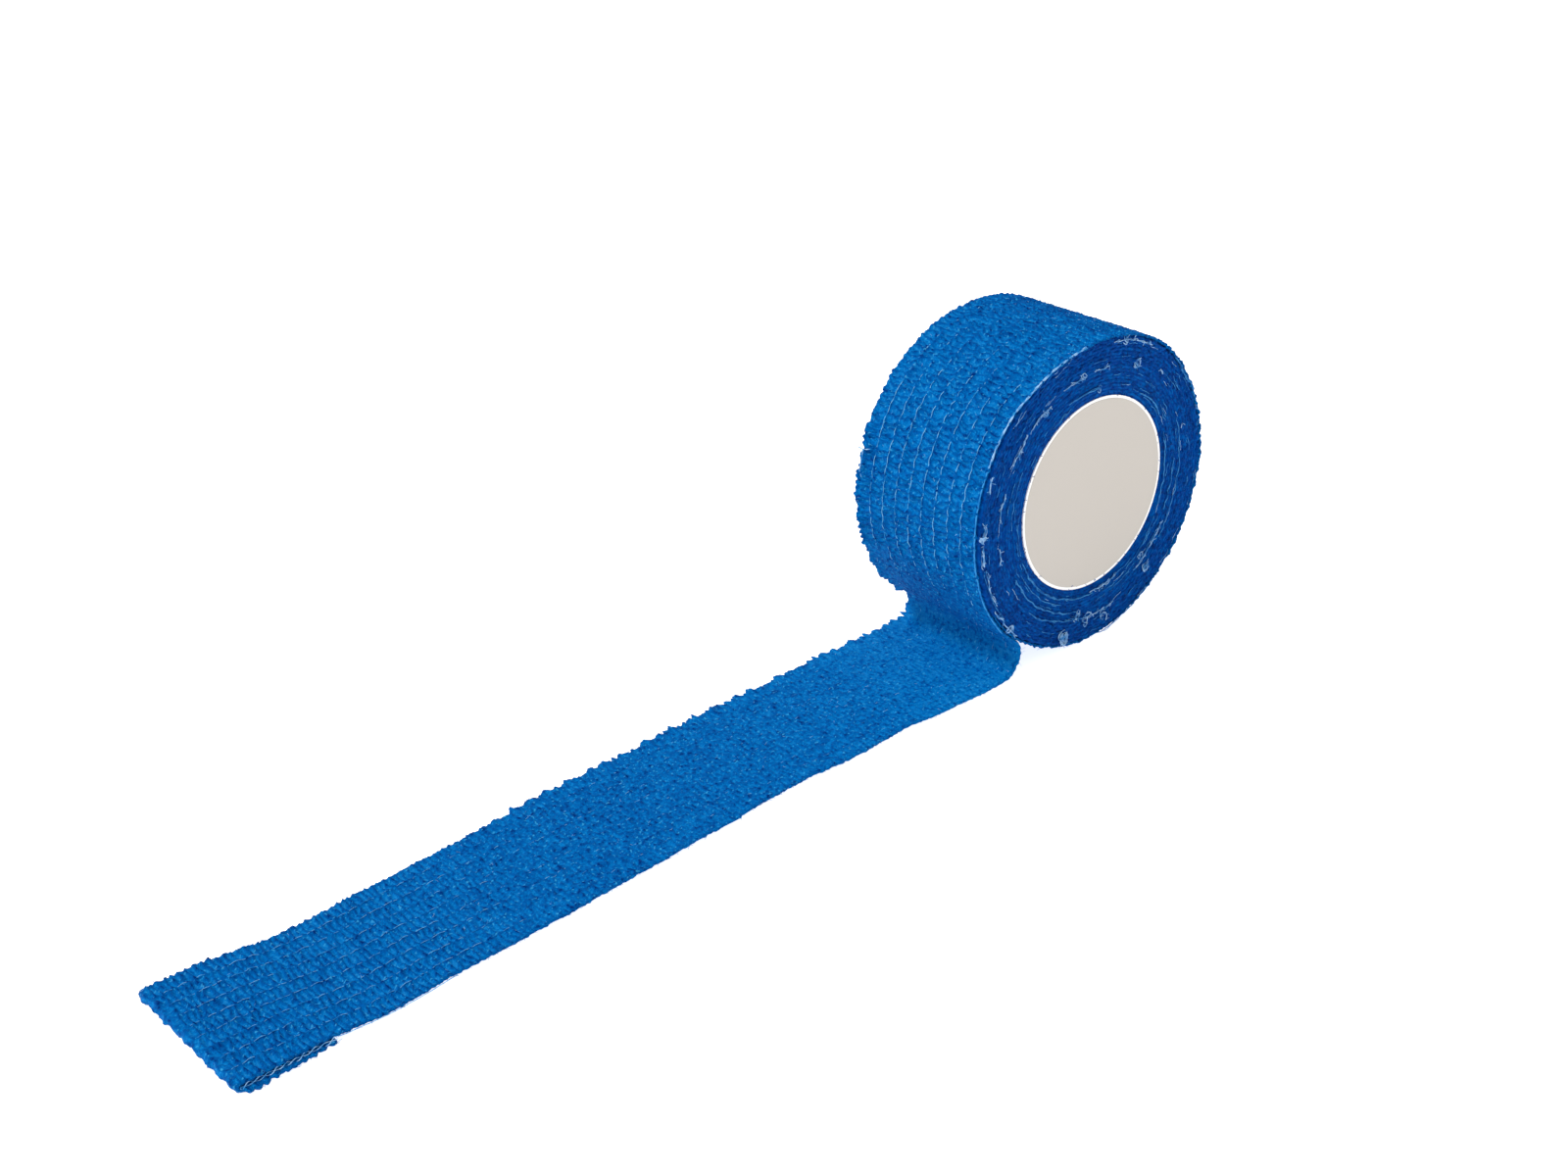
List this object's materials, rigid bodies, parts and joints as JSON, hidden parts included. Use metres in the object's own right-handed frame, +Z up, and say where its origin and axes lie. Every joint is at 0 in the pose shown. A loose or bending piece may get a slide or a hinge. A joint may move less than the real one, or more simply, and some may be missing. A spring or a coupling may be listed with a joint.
{
  "type": "cohesive bandage roll",
  "caption": "Narrow crinkled elastic bandage wound on a capped core, standing on its edge, its loose end pulled out flat and folded under.",
  "frame": {"origin": "middle of the flat spot under the roll, on the surface it rests on", "axes": "+X from the free end towards the roll, +Y along the roll's axis away from the capped face, +Z up"},
  "size_m": [0.1779, 0.0261, 0.0513],
  "materials": {
    "cloth": "matte blue crinkled nonwoven with fine pale elastic threads along it",
    "core_white": "smooth white",
    "core_grey": "plain warm pale grey, matte"
  },
  "bodies": {
    "root": {"wound_roll": "cloth", "loose_end": "cloth", "core_tube": "core_white", "core_cap": "core_grey"}
  },
  "joints": []
}
